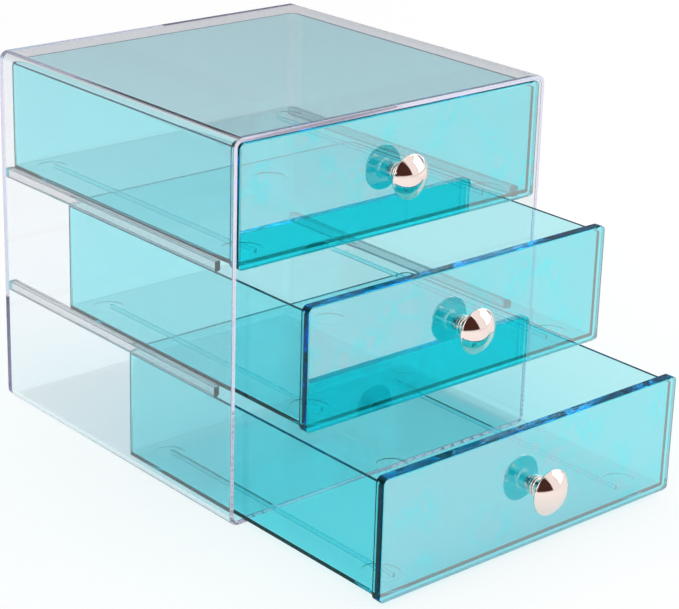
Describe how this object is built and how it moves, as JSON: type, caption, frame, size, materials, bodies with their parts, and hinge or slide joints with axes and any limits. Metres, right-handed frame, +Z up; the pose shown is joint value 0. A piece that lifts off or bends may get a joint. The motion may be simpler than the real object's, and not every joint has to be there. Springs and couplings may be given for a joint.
{
  "type": "desktop drawer organizer",
  "caption": "Clear plastic case, open at the front, with translucent teal pull-out drawers stacked in it, each with a chrome mushroom knob.",
  "frame": {"origin": "centre of the case's bottom face", "axes": "+Z up; drawers pull out towards -Y; +X to the right of someone facing the back of the case from the front"},
  "size_m": [0.17, 0.2692, 0.165],
  "materials": {
    "clear_plastic": "clear moulded acrylic, polished",
    "teal_plastic": "translucent teal moulded acrylic, polished",
    "chrome": "bright chrome plate",
    "screw_steel": "zinc-plated steel"
  },
  "bodies": {
    "case": {"case_shell": "clear_plastic", "runner_upper_left": "clear_plastic", "runner_upper_right": "clear_plastic", "runner_lower_left": "clear_plastic", "runner_lower_right": "clear_plastic"},
    "drawer_top": {"drawer_top": "teal_plastic", "knob_top": "chrome", "screw_top": "screw_steel"},
    "drawer_middle": {"drawer_middle": "teal_plastic", "knob_middle": "chrome", "screw_middle": "screw_steel"},
    "drawer_bottom": {"drawer_bottom": "teal_plastic", "knob_bottom": "chrome", "screw_bottom": "screw_steel"}
  },
  "joints": [
    {"name": "drawer_top_slide", "type": "slide", "parent": "case", "child": "drawer_top", "axis": [0, -1, 0], "range_m": [0, 0.12]},
    {"name": "drawer_middle_slide", "type": "slide", "parent": "case", "child": "drawer_middle", "axis": [0, -1, 0], "range_m": [-0.043, 0.077]},
    {"name": "drawer_bottom_slide", "type": "slide", "parent": "case", "child": "drawer_bottom", "axis": [0, -1, 0], "range_m": [-0.088, 0.032]}
  ]
}
